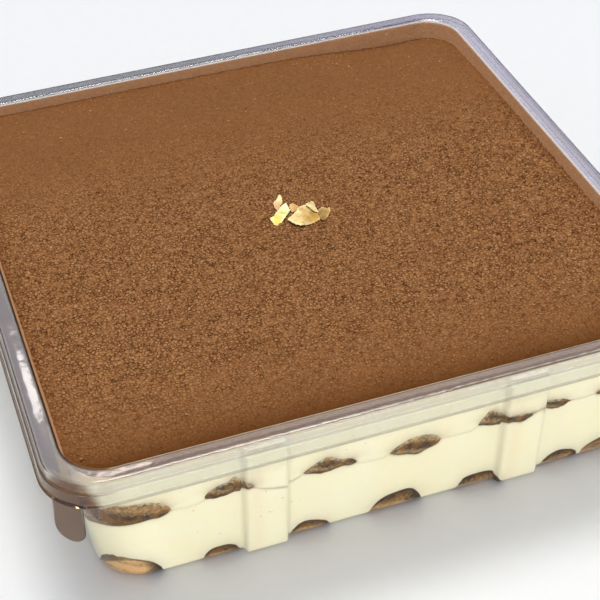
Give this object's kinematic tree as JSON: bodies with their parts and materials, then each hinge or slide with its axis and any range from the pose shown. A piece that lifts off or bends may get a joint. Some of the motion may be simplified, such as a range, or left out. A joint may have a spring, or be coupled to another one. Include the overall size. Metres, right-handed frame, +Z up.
{
  "type": "tiramisu in a square tub",
  "caption": "Tiramisu set in a square clear tub: ladyfingers in mascarpone cream under a layer of cocoa, with flakes of gold leaf on top.",
  "frame": {"origin": "middle of the tub's underside, on the surface that it stands on", "axes": "+Z up, +X to the right along the front side, +Y from the front side to the back; the opening tab is at the corner towards -X and -Y"},
  "size_m": [0.1732, 0.1732, 0.0463],
  "materials": {
    "clear_tub": "thin clear thermoformed sheet, glossy",
    "cream": "smooth pale mascarpone cream, moist and softly glossy",
    "ladyfinger": "coffee-soaked sponge, damp, fine open crumb",
    "cocoa": "dry sifted cocoa powder, grainy and matt",
    "gold_leaf": "crumpled edible gold leaf, thin and bright"
  },
  "bodies": {
    "root": {"tub": "clear_tub", "cream_lower": "cream", "cream_upper": "cream", "cocoa_layer": "cocoa", "ladyfinger_bottom_1": "ladyfinger", "ladyfinger_bottom_2": "ladyfinger", "ladyfinger_bottom_3": "ladyfinger", "ladyfinger_bottom_4": "ladyfinger", "ladyfinger_bottom_5": "ladyfinger", "ladyfinger_bottom_6": "ladyfinger", "ladyfinger_bottom_7": "ladyfinger", "ladyfinger_middle_1": "ladyfinger", "ladyfinger_middle_2": "ladyfinger", "ladyfinger_middle_3": "ladyfinger", "ladyfinger_middle_4": "ladyfinger", "ladyfinger_middle_5": "ladyfinger", "ladyfinger_middle_6": "ladyfinger", "ladyfinger_middle_7": "ladyfinger", "gold_leaf_large": "gold_leaf", "gold_leaf_tail": "gold_leaf", "gold_leaf_pale": "gold_leaf", "gold_leaf_tip": "gold_leaf", "gold_leaf_small": "gold_leaf"}
  },
  "joints": []
}
